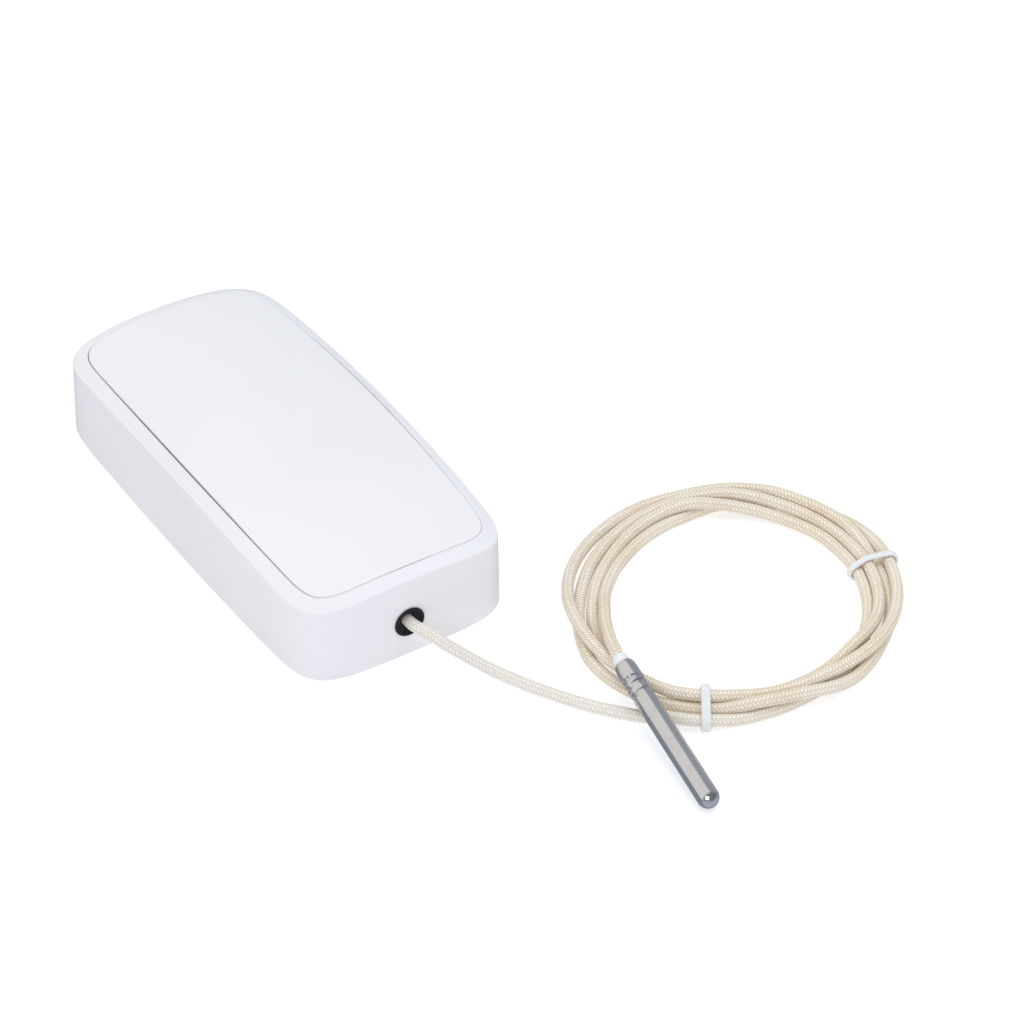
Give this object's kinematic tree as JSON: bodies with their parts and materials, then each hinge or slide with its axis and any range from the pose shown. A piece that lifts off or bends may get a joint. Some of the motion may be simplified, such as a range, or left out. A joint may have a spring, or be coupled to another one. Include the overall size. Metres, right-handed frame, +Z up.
{
  "type": "temperature data logger",
  "caption": "Slim white data logger case with rounded corners and a crowned front plate, and a braided lead from its end wall, coiled and tied, that ends in a steel probe.",
  "frame": {"origin": "middle of the case's footprint on the surface it lies on", "axes": "+Z up out of the front plate, +Y along the case away from the end where the lead comes out, +X across the case"},
  "size_m": [0.1639, 0.2352, 0.0314],
  "materials": {
    "case_plastic": "satin white moulded plastic",
    "plate_plastic": "satin white moulded plastic",
    "silicone": "grey silicone",
    "zinc_steel": "zinc plated",
    "board": "green solder mask",
    "black_plastic": "black moulded plastic",
    "battery": "dark printed film on steel",
    "tinned_brass": "plated sheet",
    "terminal_plastic": "green moulded plastic",
    "black_rubber": "matt black rubber",
    "braid": "cream glass fibre braid",
    "red_insulation": "red insulation",
    "white_insulation": "white insulation",
    "nylon": "white nylon",
    "polished_steel": "polished stainless steel",
    "sleeve": "white slippery sleeve",
    "ceramic": "white ceramic"
  },
  "bodies": {
    "root": {"case_body": "case_plastic", "front_plate": "plate_plastic", "base_cover": "case_plastic", "case_gasket": "silicone", "case_screw_1": "zinc_steel", "case_screw_2": "zinc_steel", "case_screw_3": "zinc_steel", "case_screw_4": "zinc_steel", "circuit_board": "board", "board_screw_1": "zinc_steel", "board_screw_2": "zinc_steel", "board_screw_3": "zinc_steel", "board_screw_4": "zinc_steel", "battery_holder": "black_plastic", "battery_1": "battery", "battery_2": "battery", "spring_contact_1": "zinc_steel", "spring_contact_2": "zinc_steel", "plate_contact_1": "zinc_steel", "plate_contact_2": "zinc_steel", "radio_module": "zinc_steel", "controller_chip": "black_plastic", "antenna": "tinned_brass", "terminal_block": "terminal_plastic", "terminal_screw_1": "zinc_steel", "terminal_screw_2": "zinc_steel", "cable_grommet": "black_rubber", "cable_clamp": "black_plastic", "clamp_screw_1": "zinc_steel", "clamp_screw_2": "zinc_steel", "cord_inner": "braid", "conductor_1": "red_insulation", "conductor_2": "white_insulation", "cord_lead": "braid", "cord_coil": "braid", "cord_tail": "braid", "coil_tie_1": "nylon", "coil_tie_2": "nylon", "probe_tube": "polished_steel", "probe_collar": "sleeve", "sensor_element": "ceramic"}
  },
  "joints": []
}
